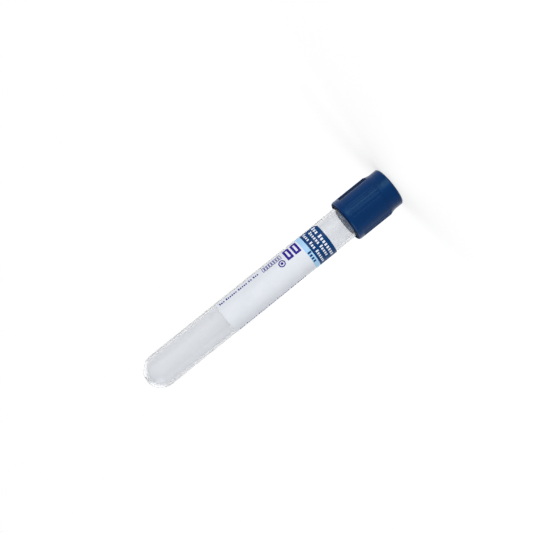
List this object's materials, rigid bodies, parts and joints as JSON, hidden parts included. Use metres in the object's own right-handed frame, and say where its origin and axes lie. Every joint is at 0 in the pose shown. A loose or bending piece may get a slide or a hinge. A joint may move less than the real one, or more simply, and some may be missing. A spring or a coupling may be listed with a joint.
{
  "type": "blood collection tube",
  "caption": "Clear round-bottomed sample tube with a wrapped label and a rubber stopper held in a ribbed plastic safety shield.",
  "frame": {"origin": "on the tube's axis, at the foot of the shield's flat rim, which the part stands on", "axes": "+Z along the tube's axis, from the closure to the round end, and +X towards the clear strip between the label's edges"},
  "size_m": [0.016, 0.016, 0.1072],
  "materials": {
    "clear_plastic": "clear moulded PET, glossy",
    "label_film": "white printed film, semi-gloss",
    "stopper_rubber": "grey-blue butyl rubber, matte",
    "blue_plastic": "royal-blue moulded polypropylene, satin gloss"
  },
  "bodies": {
    "closure": {"stopper": "stopper_rubber", "shield": "blue_plastic"},
    "tube": {"tube": "clear_plastic", "label": "label_film"}
  },
  "joints": [
    {"name": "tube_pull", "type": "slide", "parent": "closure", "child": "tube", "axis": [0, 0, 1], "range_m": [0, 0.03]}
  ]
}
